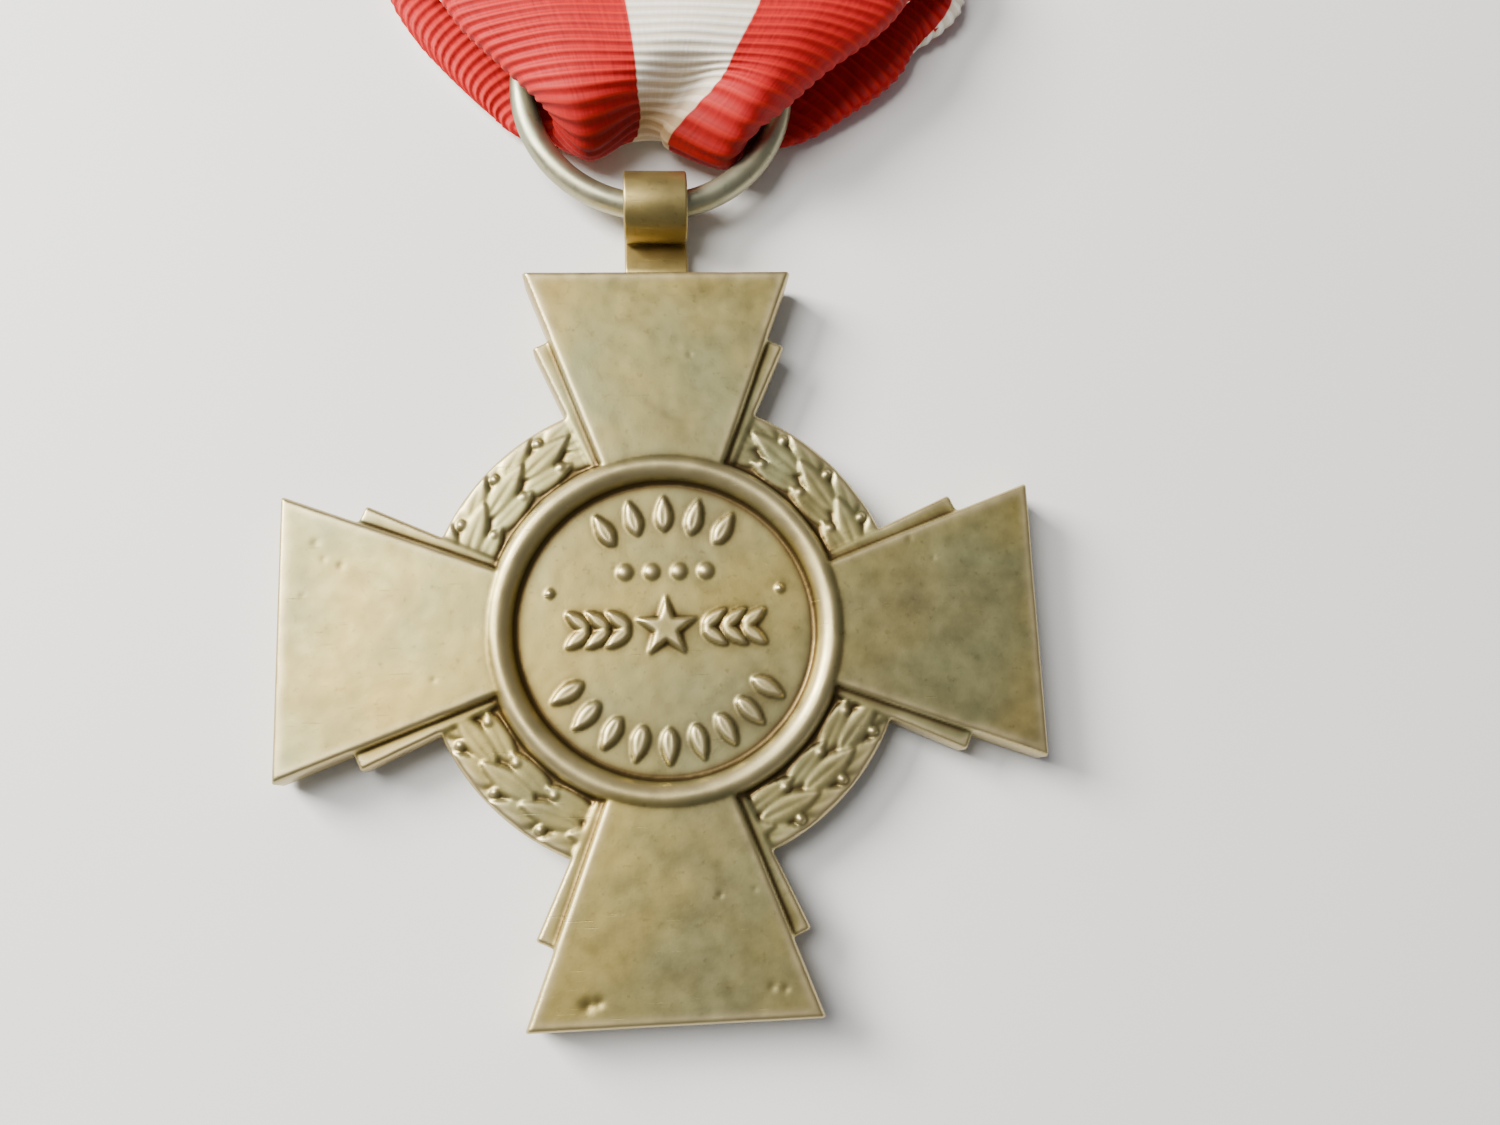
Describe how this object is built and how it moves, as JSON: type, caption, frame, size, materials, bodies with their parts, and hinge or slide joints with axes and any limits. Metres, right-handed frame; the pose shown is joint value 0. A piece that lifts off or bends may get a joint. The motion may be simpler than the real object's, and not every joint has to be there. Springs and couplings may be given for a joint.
{
  "type": "cross medal",
  "caption": "Bronze cross medal with laurel wreath and round medallion, hung by a jump ring from a striped ribbon on a brooch bar with a hinged pin.",
  "frame": {"origin": "centre of the cross on the plane it rests on, on the flat star of the obverse", "axes": "+Z out of the reverse face, +Y from the cross along the ribbon to the brooch, +X across the ribbon"},
  "size_m": [0.04, 0.098, 0.0046],
  "materials": {
    "bronze": "worn patinated bronze, soft polished edges",
    "loop_bronze": "patinated bronze strip",
    "ring_bronze": "patinated bronze wire",
    "ribbon": "ribbed woven ribbon, red with white stripes",
    "thread": "sewing thread",
    "brooch_brass": "brushed brass",
    "pin_steel": "drawn steel wire"
  },
  "bodies": {
    "medal": {"cross": "bronze", "suspension_loop": "loop_bronze"},
    "ring": {"jump_ring": "ring_bronze", "ribbon_gather": "ribbon"},
    "ribbon": {"ribbon_obverse_panel": "ribbon", "ribbon_reverse_panel": "ribbon", "ribbon_stitches": "thread", "brooch_bar": "brooch_brass", "hinge_bracket": "brooch_brass", "hinge_rivet": "brooch_brass", "catch": "brooch_brass"},
    "pin": {"pin_wire": "pin_steel"}
  },
  "joints": [
    {"name": "ring_swing", "type": "hinge", "parent": "medal", "child": "ring", "pos_m": [0, 0.02175, 0.00185], "axis": [1, 0, 0], "range_deg": [-110, 110]},
    {"name": "ribbon_bend", "type": "hinge", "parent": "ring", "child": "ribbon", "pos_m": [0, 0.04052, 0.001], "axis": [-1, 0, 0], "range_deg": [-80, 80]},
    {"name": "pin_open", "type": "hinge", "parent": "ribbon", "child": "pin", "pos_m": [0.015, 0.07742, 0.00307], "axis": [0, 1, 0], "range_deg": [0, 80]}
  ]
}
